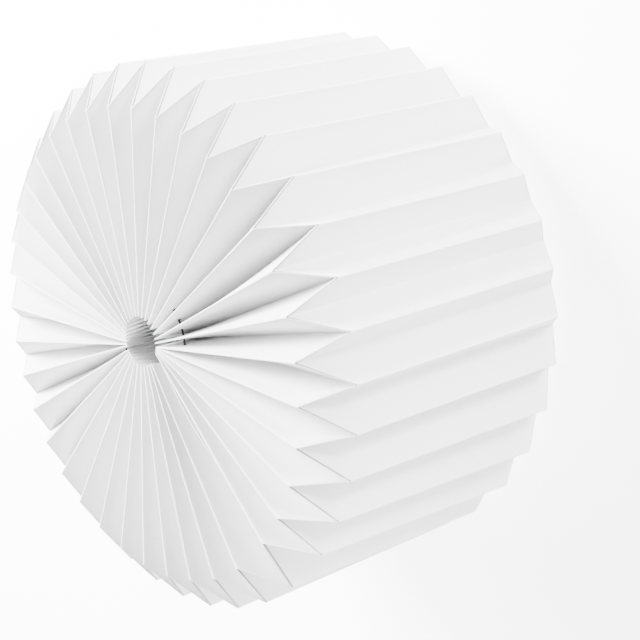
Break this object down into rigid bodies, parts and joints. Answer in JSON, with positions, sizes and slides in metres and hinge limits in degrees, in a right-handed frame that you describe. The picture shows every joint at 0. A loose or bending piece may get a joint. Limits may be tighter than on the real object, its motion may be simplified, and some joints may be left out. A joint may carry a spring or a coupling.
{
  "type": "folded paper lantern",
  "caption": "Round drum-shaped lantern of one accordion-pleated paper sheet, mitre-folded over both ends and gathered by threads round a small central hole.",
  "frame": {"origin": "on the lantern's axis, in the plane that the folds of its lower end stand on", "axes": "+Z along the lantern's axis towards its upper end, +X through the ridge of pleat 0, Y by the right-hand rule"},
  "size_m": [0.3001, 0.3004, 0.1815],
  "materials": {
    "paper": "uncoated matte white card, scored and folded",
    "thread": "twisted waxed thread, black"
  },
  "bodies": {
    "root": {"paper_sheet": "paper", "upper_thread": "thread", "lower_thread": "thread"}
  },
  "joints": []
}
